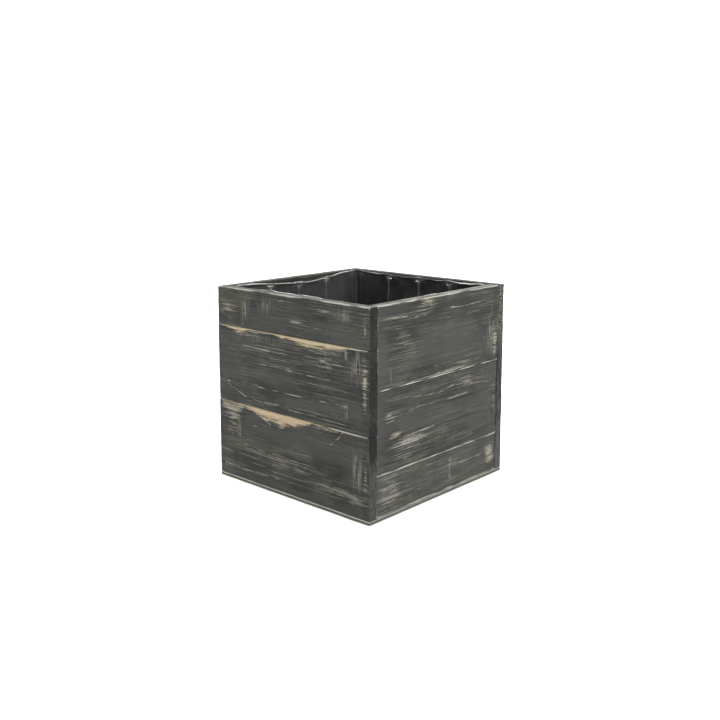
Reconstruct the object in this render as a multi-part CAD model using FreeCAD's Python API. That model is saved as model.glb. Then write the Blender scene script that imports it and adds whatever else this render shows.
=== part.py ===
import FreeCAD, Part
import os

"""Square wooden planter box with a film liner, in millimetres.

The origin is at the middle of the underside and +Z points up. The front faces -Y and the right side +X.
Each wall is three boards laid on edge. The front and back boards run the full width and cover the ends of
the side boards, which sit between them. The narrow board is on top in the front and the back and at the
bottom in the sides, so the joints are staggered and every corner brad ties different boards together.
"""

# Driving dimensions
box_width = 158.0  # along X, over the outer faces
box_depth = 158.0  # along Y, over the outer faces
wide_board = 59.5
narrow_board = 29.5
board_thickness = 8.0
arris_radius = 0.6  # sanded edges of the boards
middle_board_step = 0.25  # how far a middle board's face lies behind the proudest board
narrow_board_step = 0.45  # the same for a narrow board
base_thickness = 3.0
base_arris_radius = 0.4

brad_diameter = 1.2
brad_head_diameter = 2.0
brad_head_thickness = 0.5
brad_set_depth = 0.8  # how far a brad's head is punched below the surface
corner_brad_length = 25.0
base_brad_length = 15.0
brad_clearance = 0.03

film_thickness = 0.3
film_gap = 0.2  # between the film and the walls
film_below_rim = 2.0

staples_per_wall = 5
staple_corner_inset = 7.0  # from the inner corner to the middle of the first staple
staple_below_film_edge = 2.6
staple_crown_width = 10.0
staple_leg_length = 6.0
staple_wire_width = 1.2
staple_wire_thickness = 0.6
staple_clearance = 0.03

# Rows of each kind of wall, from the bottom up: name, height, and step behind the wall's outer plane
front_rows = (
    ("bottom", wide_board, 0.0),
    ("middle", wide_board, middle_board_step),
    ("top", narrow_board, narrow_board_step),
)
side_rows = (
    ("bottom", narrow_board, narrow_board_step),
    ("middle", wide_board, middle_board_step),
    ("top", wide_board, 0.0),
)

# Where along each overlap of a front board and a side board, from the bottom up, its corner brad goes in
corner_brad_shares = (0.27, 0.52, 0.66, 0.45, 0.55)
least_overlap_for_brad = 8.0

cut_margin = 1.0  # how far a cutting tool reaches past the surface that it opens

# Sizes that follow from the dimensions above
wall_height = 2 * wide_board + narrow_board
box_height = base_thickness + wall_height
side_board_length = box_depth - 2 * board_thickness
inside_width = box_width - 2 * board_thickness
inside_depth = box_depth - 2 * board_thickness
staple_height = box_height - film_below_rim - staple_below_film_edge

# Each wall is drawn as the front wall and turned about Z into its place
# name: (turn in degrees, board length, centre to outer face, inside length, rows)
walls = {
    "front": (0, box_width, box_depth / 2, inside_width, front_rows),
    "right": (90, side_board_length, box_width / 2, inside_depth, side_rows),
    "back": (180, box_width, box_depth / 2, inside_width, front_rows),
    "left": (270, side_board_length, box_width / 2, inside_depth, side_rows),
}


def vector(x, y, z):
    return FreeCAD.Vector(x, y, z)


def turned(shape, degrees):
    """A copy of the shape, turned about the box's vertical axis."""
    copy = shape.copy()
    copy.rotate(vector(0, 0, 0), vector(0, 0, 1), degrees)
    return copy


def block(low, high):
    """A box between its lowest and highest corners."""
    return Part.makeBox(high.x - low.x, high.y - low.y, high.z - low.z, low)


def row_levels(rows):
    """The lower and upper level of each row of boards, from the bottom up."""
    levels = []
    low = base_thickness
    for _, height, _ in rows:
        levels.append((low, low + height))
        low += height
    return levels


def plank(length, face_distance, step, levels):
    """One board of a wall in the front wall's position, with every edge eased."""
    low, high = levels
    board = block(
        vector(-length / 2, -face_distance + step, low),
        vector(length / 2, -face_distance + board_thickness, high),
    )
    return board.makeFillet(arris_radius, board.Edges)


def base_panel():
    panel = block(
        vector(-box_width / 2, -box_depth / 2, 0),
        vector(box_width / 2, box_depth / 2, base_thickness),
    )
    return panel.makeFillet(base_arris_radius, panel.Edges)


def brad(face_point, direction, length):
    """A brad driven from a point on the surface, with its head set below that surface."""
    head_top = face_point + direction * brad_set_depth
    head_bottom = head_top + direction * brad_head_thickness
    head = Part.makeCylinder(brad_head_diameter / 2, brad_head_thickness, head_top, direction)
    shank_length = length - brad_head_thickness
    shank = Part.makeCylinder(brad_diameter / 2, shank_length, head_bottom, direction)
    return head.fuse(shank).removeSplitter()


def brad_hole(face_point, direction, length):
    """The hole that the brad leaves: wide down to the head's underside, and narrow beyond it."""
    mouth = face_point - direction * cut_margin
    mouth_depth = cut_margin + brad_set_depth + brad_head_thickness + brad_clearance
    head_radius = brad_head_diameter / 2 + brad_clearance
    shank_radius = brad_diameter / 2 + brad_clearance
    full_depth = cut_margin + brad_set_depth + length + brad_clearance
    counterbore = Part.makeCylinder(head_radius, mouth_depth, mouth, direction)
    bore = Part.makeCylinder(shank_radius, full_depth, mouth, direction)
    return counterbore.fuse(bore)


def corner_brad_heights():
    """One height for each stretch where a front board and a side board overlap."""
    heights = []
    for front_low, front_high in row_levels(front_rows):
        for side_low, side_high in row_levels(side_rows):
            low = max(front_low, side_low)
            high = min(front_high, side_high)
            if high - low > least_overlap_for_brad:
                share = corner_brad_shares[len(heights) % len(corner_brad_shares)]
                heights.append(low + share * (high - low))
    return heights


def corner_brad_places(front_back, left_right):
    """Face points and direction of one corner's brads, through the middle of the side boards."""
    x = left_right * (box_width / 2 - board_thickness / 2)
    y = front_back * box_depth / 2
    points = [vector(x, y, height) for height in corner_brad_heights()]
    return points, vector(0, -front_back, 0)


def base_brad_places():
    """Face points on the underside, two for each wall, at the quarters of its length."""
    x_edge = box_width / 2 - board_thickness / 2
    y_edge = box_depth / 2 - board_thickness / 2
    points = []
    for sign in (-1, 1):
        for other in (-1, 1):
            points.append(vector(sign * box_width / 4, other * y_edge, 0))
            points.append(vector(other * x_edge, sign * box_depth / 4, 0))
    return points, vector(0, 0, 1)


def liner_body():
    """An open-topped box of film, standing on the base and against the walls."""
    half_width = inside_width / 2 - film_gap
    half_depth = inside_depth / 2 - film_gap
    top = box_height - film_below_rim
    outside = block(
        vector(-half_width, -half_depth, base_thickness),
        vector(half_width, half_depth, top),
    )
    hollow = block(
        vector(film_thickness - half_width, film_thickness - half_depth, base_thickness + film_thickness),
        vector(half_width - film_thickness, half_depth - film_thickness, top + cut_margin),
    )
    return outside.cut(hollow)


def staple_middles(inside_length):
    """Middles of the staples along one wall, evenly spaced between the corner staples."""
    first = -inside_length / 2 + staple_corner_inset
    spacing = -2 * first / (staples_per_wall - 1)
    return [first + spacing * index for index in range(staples_per_wall)]


def staple(middle, inner_face):
    """A staple in the front wall's position: the crown lies on the film, the legs point outwards."""
    crown_outside = inner_face + film_gap + film_thickness
    crown_inside = crown_outside + staple_wire_thickness
    leg_end = crown_outside - staple_leg_length
    half = staple_crown_width / 2
    inner_half = half - staple_wire_thickness
    outline = [
        (-half, crown_inside), (half, crown_inside), (half, leg_end), (inner_half, leg_end),
        (inner_half, crown_outside), (-inner_half, crown_outside), (-inner_half, leg_end), (-half, leg_end),
    ]
    low = staple_height - staple_wire_width / 2
    corners = [vector(middle + x, y, low) for x, y in outline]
    wire = Part.makePolygon(corners + corners[:1])
    return Part.Face(wire).extrude(vector(0, 0, staple_wire_width))


def staple_slots(middle, inner_face):
    """The two slots that a staple's legs pass through, in the film and in the board behind it."""
    film_inside = inner_face + film_gap + film_thickness
    leg_end = film_inside - staple_leg_length - staple_clearance
    low = staple_height - staple_wire_width / 2 - staple_clearance
    high = staple_height + staple_wire_width / 2 + staple_clearance
    outer = staple_crown_width / 2 + staple_clearance
    inner = staple_crown_width / 2 - staple_wire_thickness - staple_clearance
    slots = []
    for left, right in ((-outer, -inner), (inner, outer)):
        slots.append(block(vector(middle + left, leg_end, low), vector(middle + right, film_inside, high)))
    return slots


def build():
    """Every node of the box: its name and its shape."""
    brads = {}
    holes = []
    for end, front_back in (("front", -1), ("back", 1)):
        for hand, left_right in (("left", -1), ("right", 1)):
            points, direction = corner_brad_places(front_back, left_right)
            name = f"corner_brads_{end}_{hand}"
            brads[name] = [brad(point, direction, corner_brad_length) for point in points]
            holes += [brad_hole(point, direction, corner_brad_length) for point in points]
    points, direction = base_brad_places()
    brads["base_brads"] = [brad(point, direction, base_brad_length) for point in points]
    holes += [brad_hole(point, direction, base_brad_length) for point in points]
    all_holes = Part.makeCompound(holes)

    nodes = {"base_panel": base_panel().cut(all_holes)}
    liner = liner_body()
    staples = {}
    for wall, (turn, length, face_distance, inside_length, rows) in walls.items():
        inner_face = -face_distance + board_thickness
        middles = staple_middles(inside_length)
        staples[f"staples_{wall}"] = [turned(staple(middle, inner_face), turn) for middle in middles]
        slots = [turned(slot, turn) for middle in middles for slot in staple_slots(middle, inner_face)]
        liner = liner.cut(Part.makeCompound(slots))
        for (row, _, step), levels in zip(rows, row_levels(rows)):
            board = turned(plank(length, face_distance, step, levels), turn)
            nodes[f"{wall}_board_{row}"] = board.cut(all_holes).cut(Part.makeCompound(slots))
    nodes["liner"] = liner
    for name, solids in {**brads, **staples}.items():
        nodes[name] = Part.makeCompound(solids)
    return nodes


os.makedirs("parts", exist_ok=True)
for node, shape in build().items():
    solids = shape.Solids
    volume = sum(solid.Volume for solid in solids)
    print(f"{node:26s} solids {len(solids):3d}  volume {volume:10.1f}  valid {shape.isValid()}")
    result = solids[0] if len(solids) == 1 else Part.makeCompound(solids)
    result.exportStep(f"parts/{node}.step")
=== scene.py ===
import math
from collections import namedtuple

import bpy
import numpy as np
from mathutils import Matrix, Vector


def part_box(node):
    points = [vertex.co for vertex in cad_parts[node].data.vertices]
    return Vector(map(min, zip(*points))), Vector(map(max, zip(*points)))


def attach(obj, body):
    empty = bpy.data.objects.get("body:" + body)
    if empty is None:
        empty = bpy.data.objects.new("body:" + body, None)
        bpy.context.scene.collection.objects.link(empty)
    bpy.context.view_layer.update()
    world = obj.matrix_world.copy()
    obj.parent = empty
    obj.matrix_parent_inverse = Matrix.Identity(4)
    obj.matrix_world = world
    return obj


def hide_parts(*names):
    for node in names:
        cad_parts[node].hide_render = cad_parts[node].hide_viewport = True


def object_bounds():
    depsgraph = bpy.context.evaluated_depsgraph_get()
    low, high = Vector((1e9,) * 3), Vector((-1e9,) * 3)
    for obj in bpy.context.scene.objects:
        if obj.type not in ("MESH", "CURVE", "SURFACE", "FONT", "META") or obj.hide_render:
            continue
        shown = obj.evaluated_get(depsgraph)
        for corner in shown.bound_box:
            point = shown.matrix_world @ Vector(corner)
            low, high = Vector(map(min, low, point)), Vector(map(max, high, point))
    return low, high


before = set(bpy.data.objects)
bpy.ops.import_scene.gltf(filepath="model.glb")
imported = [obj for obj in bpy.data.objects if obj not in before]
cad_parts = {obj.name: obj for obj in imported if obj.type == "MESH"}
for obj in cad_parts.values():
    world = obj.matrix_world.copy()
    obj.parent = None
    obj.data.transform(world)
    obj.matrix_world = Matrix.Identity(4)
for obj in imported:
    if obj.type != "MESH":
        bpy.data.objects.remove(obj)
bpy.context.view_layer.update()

MM = 0.001
ENDLESS = 9000  # in millimetres, a size over which a noise doesn't change
BODY = "root"


def mm(*sizes):
    """Sizes given in millimetres, as an array in metres."""
    return np.array(sizes) * MM


# ---------------------------------------------------------------- frame ----

WALLS = ("front", "right", "back", "left")
ROWS = ("bottom", "middle", "top")
# Seen from outside, a wall's u runs to the right along its length, v runs up and w runs inwards.
X, Y, UP = np.eye(3)
WALL_U = {"front": X, "right": Y, "back": -X, "left": -Y}
WALL_W = {"front": Y, "right": -X, "back": -Y, "left": X}


def clusters(values, gap):
    """The middles of the groups that sorted values fall into, where groups are over a gap apart."""
    values = np.sort(values)
    groups = np.split(values, np.flatnonzero(np.diff(values) > gap) + 1)
    return [float(group.min() + group.max()) / 2 for group in groups]


def node_points(node):
    return np.array([vertex.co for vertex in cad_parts[node].data.vertices])


# ---------------------------------------------------------------- noise ----


def lattice_value(x, y, z, seed):
    """A repeatable number from -1 to 1 at each whole-numbered lattice point."""
    mixed = (x * 73856093) ^ (y * 19349663) ^ (z * 83492791) ^ (seed * 2654435761)
    mixed = ((mixed ^ (mixed >> 13)) * 1274126177) & 0x7FFFFFFF
    mixed = ((mixed ^ (mixed >> 15)) * 668265263) & 0x7FFFFFFF
    return ((mixed >> 7) & 0xFFFF) / 32767.5 - 1.0


def noise(points, size, seed):
    """Smooth noise from -1 to 1. size is the length of one swing along each axis, in metres."""
    places = points / size
    cell = np.floor(places).astype(np.int64)
    part = places - cell
    part = part * part * (3 - 2 * part)
    total = np.zeros(len(points))
    for corner in range(8):
        dx, dy, dz = corner & 1, corner >> 1 & 1, corner >> 2
        weight = (
            (part[:, 0] if dx else 1 - part[:, 0])
            * (part[:, 1] if dy else 1 - part[:, 1])
            * (part[:, 2] if dz else 1 - part[:, 2])
        )
        total += weight * lattice_value(cell[:, 0] + dx, cell[:, 1] + dy, cell[:, 2] + dz, seed)
    return total


def smooth(low, high, values):
    """0 below low, 1 above high, and a smooth step between."""
    part = np.clip((values - low) / (high - low), 0, 1)
    return part * part * (3 - 2 * part)


# -------------------------------------------------------- lattice blocks ----


def merged(*lines):
    """Lattice lines from several lists, in order and each once."""
    return np.unique(np.concatenate(lines).round(7))


def samples(length, step, fine_at=(), fine_reach=1.4 * MM, fine_step=0.2 * MM):
    """Places from 0 to length: fine at a rounded edge and at each of fine_at, and a step apart elsewhere."""
    rounded = mm(0, 0.12, 0.3, 0.52, 0.78, 1.05)
    rounded = rounded[rounded < length / 2]
    count = max(2, round((length - 2 * rounded[-1]) / step) + 1)
    inner = np.linspace(rounded[-1], length - rounded[-1], count)
    places = np.concatenate([rounded[:-1], inner, length - rounded[:-1]])
    fine = np.arange(-fine_reach, fine_reach + fine_step / 2, fine_step)
    for middle in fine_at:
        places = places[np.abs(places - middle) > fine_reach + fine_step / 2]
        places = np.concatenate([places, fine + middle])
    return merged(places)


def cell_outline(grid, row, column, rows, columns):
    """A coarse cell's corners, with the lattice points between them where it meets the face's border."""
    (top, bottom), (left, right) = row, column
    sides = (
        grid[top, left:right] if top == 0 else grid[top, left:right:right - left],
        grid[top:bottom, right] if right == columns else grid[top:bottom:bottom - top, right],
        grid[bottom, right:left:-1] if bottom == rows else grid[bottom, right:left:left - right],
        grid[bottom:top:-1, left] if left == 0 else grid[bottom:top:top - bottom, left],
    )
    return np.concatenate(sides)


def face_polygons(grid, coarse_rows=None, coarse_columns=None):
    """The polygons of one face of a block: a quad for each lattice cell, or for each coarse cell."""
    if coarse_rows is None:
        quads = np.stack([grid[:-1, :-1], grid[:-1, 1:], grid[1:, 1:], grid[1:, :-1]], axis=-1)
        return list(quads.reshape(-1, 4))
    rows, columns = grid.shape[0] - 1, grid.shape[1] - 1
    return [
        cell_outline(grid, row, column, rows, columns)
        for row in zip(coarse_rows[:-1], coarse_rows[1:])
        for column in zip(coarse_columns[:-1], coarse_columns[1:])
    ]


def block_surface(u, v, w, coarse=None, open_top=False):
    """The surface of a block on a lattice. coarse gives, for a face, the lattice lines that it keeps inside.
    open_top leaves out the face at the far end of w.
    Returns the surface's points and its polygons, which face outwards."""
    coarse = coarse or {}
    index = np.arange(len(u) * len(v) * len(w)).reshape(len(u), len(v), len(w))
    faces = {
        "w_low": index[:, :, 0].T[::-1],
        "w_high": index[:, :, -1].T,
        "v_low": index[:, 0, :].T,
        "v_high": index[:, -1, :].T[::-1],
        "u_low": index[0].T[::-1],
        "u_high": index[-1].T,
    }
    if open_top:
        del faces["w_high"]
    polygons = []
    for name, grid in faces.items():
        rows, columns = coarse.get(name, (None, None))
        if rows is not None and name in ("w_low", "v_high", "u_low"):
            rows = (len(grid) - 1 - np.asarray(rows))[::-1]
        polygons += [polygon[::-1] for polygon in face_polygons(grid, rows, columns)]
    counts = np.array([len(polygon) for polygon in polygons])
    used, flat = np.unique(np.concatenate(polygons), return_inverse=True)
    iu, iv, iw = np.unravel_index(used, index.shape)
    return np.column_stack([u[iu], v[iv], w[iw]]), flat, counts


def mesh_of(name, points, corners, counts):
    """A mesh from its points, the corner points of its polygons in a row, and each polygon's corner count."""
    mesh = bpy.data.meshes.new(name)
    mesh.vertices.add(len(points))
    mesh.vertices.foreach_set("co", np.asarray(points, np.float32).ravel())
    mesh.loops.add(len(corners))
    mesh.loops.foreach_set("vertex_index", np.asarray(corners, np.int32))
    mesh.polygons.add(len(counts))
    mesh.polygons.foreach_set("loop_start", np.concatenate([[0], np.cumsum(counts)[:-1]]).astype(np.int32))
    mesh.update(calc_edges=True)
    mesh.validate()
    mesh.polygons.foreach_set("use_smooth", np.ones(len(mesh.polygons), bool))
    return mesh


def add_attribute(mesh, name, values):
    """A number or a vector for each point, which the material reads by this name."""
    values = np.asarray(values, np.float32)
    if values.ndim == 1:
        mesh.attributes.new(name, "FLOAT", "POINT").data.foreach_set("value", values)
    else:
        mesh.attributes.new(name, "FLOAT_VECTOR", "POINT").data.foreach_set("vector", values.ravel())


def add_piece(name, mesh, material, slot, *nodes):
    """Links a piece, and makes it ride with the box and stand for its CAD nodes."""
    piece = bpy.data.objects.new(name, mesh)
    bpy.context.scene.collection.objects.link(piece)
    mesh.materials.append(material)
    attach(piece, BODY)
    if nodes:
        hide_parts(*nodes)
    return piece


# ------------------------------------------------------------- materials ----


class Graph:
    """A material's node tree, with short calls for the nodes that the materials here share."""

    def __init__(self, name, roughness=0.5, specular=0.5, metallic=0.0):
        self.material = bpy.data.materials.new(name)
        self.material.use_nodes = True
        self.nodes = self.material.node_tree.nodes
        self.links = self.material.node_tree.links
        self.shader = self.nodes["Principled BSDF"]
        self.set("Roughness", roughness)
        self.set("Specular IOR Level", specular)
        self.set("Metallic", metallic)

    def set(self, socket, value):
        """Sets a shader input, which may be a constant or another node's output."""
        self.feed(self.shader.inputs[socket], value)

    def feed(self, socket, value):
        if isinstance(value, bpy.types.NodeSocket):
            self.links.new(value, socket)
        elif hasattr(value, "__len__") and socket.type == "RGBA" and len(value) == 3:
            socket.default_value = (*value, 1)
        else:
            socket.default_value = value

    def node(self, kind, output, inputs=(), **settings):
        node = self.nodes.new(kind)
        for name, value in settings.items():
            setattr(node, name, value)
        for name, value in dict(inputs).items():
            self.feed(node.inputs[name], value)
        return node.outputs[output]

    def attribute(self, name, output="Vector"):
        return self.node("ShaderNodeAttribute", output, attribute_name=name)

    def parts(self, vector):
        node = self.nodes.new("ShaderNodeSeparateXYZ")
        self.links.new(vector, node.inputs[0])
        return node.outputs[0], node.outputs[1], node.outputs[2]

    def scaled(self, vector, scale, offset=(0, 0, 0)):
        """The vector, with each axis scaled, and then moved."""
        node_inputs = {0: vector, 1: scale, 2: offset}
        return self.node("ShaderNodeVectorMath", 0, node_inputs, operation="MULTIPLY_ADD")

    def noise(self, vector, scale, offset=(0, 0, 0), detail=3.0, roughness=0.55, distortion=0, output="Fac"):
        inputs = {"Vector": self.scaled(vector, scale, offset), "Scale": 1.0, "Detail": detail,
                  "Roughness": roughness, "Distortion": distortion}
        return self.node("ShaderNodeTexNoise", output, inputs)

    def step(self, value, low, high, to_low=0.0, to_high=1.0):
        """A smooth step of the value between low and high."""
        inputs = {"Value": value, "From Min": low, "From Max": high, "To Min": to_low, "To Max": to_high}
        return self.node("ShaderNodeMapRange", "Result", inputs, interpolation_type="SMOOTHSTEP")

    def math(self, operation, first, second, third=0.0, clamp=False):
        inputs = {0: first, 1: second, 2: third}
        return self.node("ShaderNodeMath", 0, inputs, operation=operation, use_clamp=clamp)

    def times(self, first, second):
        return self.math("MULTIPLY", first, second)

    def times_plus(self, first, factor, added, clamp=False):
        return self.math("MULTIPLY_ADD", first, factor, added, clamp)

    def mix(self, factor, first, second, blend="MIX"):
        node = self.nodes.new("ShaderNodeMix")
        node.data_type = "RGBA"
        node.blend_type = blend
        self.feed(node.inputs["Factor"], factor)
        self.feed(node.inputs[6], first)
        self.feed(node.inputs[7], second)
        return node.outputs[2]

    def fade(self, first, second, value, low, high, share=1.0):
        """From the first colour towards the second, by share, as the value goes from low to high."""
        return self.mix(self.step(value, low, high, 0, share), first, second)

    def bump(self, height, distance, strength):
        inputs = {"Height": height, "Distance": distance, "Strength": strength}
        return self.node("ShaderNodeBump", "Normal", inputs)


PAINT_DARK = (0.0155, 0.0155, 0.0143)
PAINT = (0.0325, 0.0325, 0.0300)
PAINT_OLIVE = (0.0420, 0.0412, 0.0320)
WORN = (0.235, 0.230, 0.190)
WORN_CREAM = (0.330, 0.295, 0.205)
WORN_PALE = (0.360, 0.360, 0.330)
ARRIS_PALE = (0.338, 0.338, 0.298)
BARE = (0.385, 0.322, 0.200)
BARE_DEEP = (0.285, 0.200, 0.130)
BARE_BROWN = (0.120, 0.078, 0.050)
BARE_PINK = (0.360, 0.262, 0.178)
VEILED = (0.044, 0.044, 0.041)
PALE_WASH = (0.088, 0.087, 0.080)
PORE = (0.014, 0.014, 0.013)
END_DARK = (0.006, 0.006, 0.0056)
END_PALE = (0.060, 0.0595, 0.0545)


def stained_wood():
    """Dry dark grey wash on wood, sanded through to pale grain lines and to bare wood.

    The grain attribute is the place in the board in millimetres, along, up and into it. The marks attribute
    is how far the surface is worn, bared and saw-marked there, and on end grain the last is how full of holes
    it is. On the rim's top, worn also holds a painted highlight for the light from above. The rub attribute
    is how far the arris is rubbed, whether end grain shows, and how pale the wash or the end grain is."""
    graph = Graph("stained_wood", roughness=0.85, specular=0.2)
    grain = graph.attribute("grain")
    worn, bare, sawn = graph.parts(graph.attribute("marks"))
    rubbed, end, tone_here = graph.parts(graph.attribute("rub"))

    hairs = graph.noise(grain, (0.016, 1.60, 1.60), detail=4.0, roughness=0.74, distortion=0.10)
    streaks = graph.noise(grain, (0.075, 1.75, 1.75), (31, 7, 3), detail=4.0, roughness=0.72)
    threads = graph.noise(grain, (0.20, 5.2, 5.2), (11, 17, 13), detail=2.0, roughness=0.6)
    clouds = graph.noise(grain, (0.030, 0.075, 0.075), (5, 19, 2))
    tint = graph.noise(grain, (0.035, 0.06, 0.06), (71, 3, 29), detail=2.0)
    speckle = graph.noise(grain, (0.9, 1.6, 1.6), (3, 11, 47), roughness=0.7)

    # Growth rings: shells round a pith that lies well behind the board and is tilted to it
    sway = graph.noise(grain, (0.012, 0.035, 0.035), (9, 1, 4), detail=2.0, output="Color")
    swayed_inputs = {0: grain, 1: graph.scaled(sway, (0, 26, 26))}
    swayed = graph.node("ShaderNodeVectorMath", 0, swayed_inputs, operation="ADD")
    rings = graph.node(
        "ShaderNodeTexWave", "Fac",
        {"Vector": graph.scaled(swayed, (0.004, 0.10, 0.06)), "Scale": 0.55, "Distortion": 1.1, "Detail": 2.0,
         "Detail Scale": 1.2},
        wave_type="RINGS", rings_direction="X", wave_profile="SAW",
    )
    ring_line = graph.step(rings, 0.72, 0.98)

    # The wash: thin over the raised grain, dark in the pores, and thinner in some places than in others
    tone = graph.times_plus(hairs, 1.6, graph.times_plus(clouds, 0.7, -0.65))
    colour = graph.fade(PAINT_DARK, PAINT, tone, 0.15, 0.85)
    colour = graph.fade(colour, PAINT_OLIVE, tint, 0.46, 0.66, 0.7)
    pore = graph.times(graph.step(threads, 0.44, 0.32), 0.45)
    colour = graph.mix(pore, colour, PORE)

    # Raised grain lines, rubbed pale: faint and thin everywhere, close where the board is worn, and under a
    # smooth even wash where the worn field is negative
    colour = graph.fade(colour, VEILED, worn, 0.0, -0.9, 0.65)
    colour = graph.mix(graph.math("MAXIMUM", tone_here, 0.0), colour, PALE_WASH)
    lines = graph.times_plus(hairs, 0.60, graph.times(streaks, 0.40))
    lines = graph.times_plus(ring_line, 0.025, lines)
    faint = graph.times(graph.step(lines, 0.505, 0.585), graph.step(clouds, 0.34, 0.62, 0.05, 0.30))
    faint = graph.times(faint, graph.step(worn, -0.9, 0.05, 0.35, 1.0))
    lines = graph.times_plus(worn, 0.105, graph.times_plus(threads, 0.06, lines))
    strength = graph.times_plus(worn, 0.66, 0.34, clamp=True)
    line_mask = graph.times(graph.step(lines, 0.585, 0.655), strength)
    line_mask = graph.math("MAXIMUM", line_mask, faint)
    # Marks across the grain
    ticks = graph.noise(grain, (1.05, 0.055, 0.055), (13, 5, 1), roughness=0.6)
    tick_field = graph.times_plus(sawn, 0.14, graph.times_plus(streaks, 0.12, ticks))
    tick_line = graph.times(graph.step(tick_field, 0.60, 0.74), graph.times(sawn, 0.5))
    wear_mask = graph.math("MAXIMUM", line_mask, tick_line)
    colour = graph.mix(wear_mask, colour, graph.fade(WORN, WORN_CREAM, bare, 0.05, 0.45))

    # Bare wood, in a soft ragged edge of torn grain lines
    baring = graph.times_plus(streaks, 1.5, graph.times_plus(hairs, 1.4, -1.60))
    baring = graph.times_plus(speckle, 0.30, graph.math("ADD", baring, bare))
    colour = graph.fade(colour, BARE_BROWN, baring, 0.30, 0.60, 0.30)
    wood = graph.fade(BARE_DEEP, BARE, lines, 0.42, 0.62)
    wood = graph.fade(wood, BARE_PINK, tint, 0.46, 0.62, 0.30)
    wood = graph.fade(wood, WORN_PALE, threads, 0.50, 0.72, 0.6)
    colour = graph.fade(colour, wood, baring, 0.42, 1.05, 0.96)

    # Arrises, rubbed through to pale wood
    edging = graph.times_plus(streaks, 1.2, graph.times_plus(speckle, 0.6, -0.90))
    edging = graph.math("ADD", edging, rubbed)
    edge_colour = graph.fade(ARRIS_PALE, BARE, baring, 0.2, 0.6)
    colour = graph.fade(colour, edge_colour, edging, 0.28, 1.00, 0.95)

    # End grain: it takes up more stain, and its pores and torn fibres are black pits
    pores = graph.noise(grain, (1.2, 0.16, 1.1), (2, 8, 5), detail=5.0, roughness=0.74)
    pitted = graph.times_plus(tone_here, 0.20, pores)
    end_colour = graph.fade(END_DARK, END_PALE, pitted, 0.40, 0.74)
    raised = graph.times(graph.step(pores, 0.38, 0.62), graph.step(tone_here, 0.9, 1.8, 0, 0.50))
    end_colour = graph.mix(raised, end_colour, WORN)
    end_colour = graph.fade(end_colour, END_DARK, speckle, 0.44, 0.36, 0.8)
    holes = graph.noise(grain, (0.8, 0.75, 0.95), (19, 4, 6), detail=1.0)
    hole_mask = graph.times(graph.step(holes, 0.53, 0.40), graph.math("MINIMUM", sawn, 1.0))
    end_colour = graph.mix(hole_mask, end_colour, END_DARK)
    end_colour = graph.fade(end_colour, WORN_PALE, edging, 0.35, 0.95, 0.7)
    colour = graph.mix(end, colour, end_colour)
    graph.set("Base Color", colour)

    relief = graph.times_plus(hairs, 0.6, graph.times(threads, 0.35))
    relief = graph.times_plus(ring_line, 0.30, relief)
    relief = graph.times_plus(streaks, 0.35, relief)
    relief = graph.times_plus(tick_line, -0.3, relief)
    relief = graph.times_plus(graph.times(pores, end), 1.2, relief)
    graph.set("Normal", graph.bump(relief, 0.35 * MM, 0.7))
    graph.set("Roughness", graph.step(lines, 0.45, 0.75, 0.74, 0.92))
    return graph.material


def plywood():
    """Thin three-ply: pale face veneers and a darker core on its edges, greyed faces below."""
    graph = Graph("plywood", roughness=0.8, specular=0.25)
    grain = graph.attribute("grain")
    grimed, _, _ = graph.parts(graph.attribute("marks"))
    _, _, depth = graph.parts(grain)
    fibres = graph.noise(grain, (0.06, 1.6, 3.0), detail=4.0, roughness=0.6)
    cross = graph.noise(grain, (1.4, 0.06, 3.0), (4, 2, 9), detail=4.0, roughness=0.6)
    blotches = graph.noise(grain, (0.09, 0.09, 0.3), (1, 5, 3))
    wavering = graph.times_plus(blotches, 0.4, depth)
    core = graph.times(graph.step(wavering, 0.80, 1.00), graph.step(wavering, 2.35, 2.55, 1.0, 0.0))
    veneer = graph.fade((0.46, 0.445, 0.38), (0.23, 0.225, 0.19), fibres, 0.35, 0.7)
    heart = graph.fade((0.085, 0.080, 0.068), (0.030, 0.029, 0.026), cross, 0.35, 0.65)
    colour = graph.mix(graph.times(core, graph.attribute("end", "Fac")), veneer, heart)
    grime = graph.times_plus(blotches, 0.9, graph.times_plus(grimed, 0.4, -0.3))
    colour = graph.fade(colour, (0.095, 0.094, 0.084), grime, 0.2, 0.75, 0.75)
    graph.set("Base Color", colour)
    relief = graph.times_plus(core, -0.6, graph.times(fibres, 0.7))
    graph.set("Normal", graph.bump(relief, 0.25 * MM, 0.7))
    return graph.material


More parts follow.
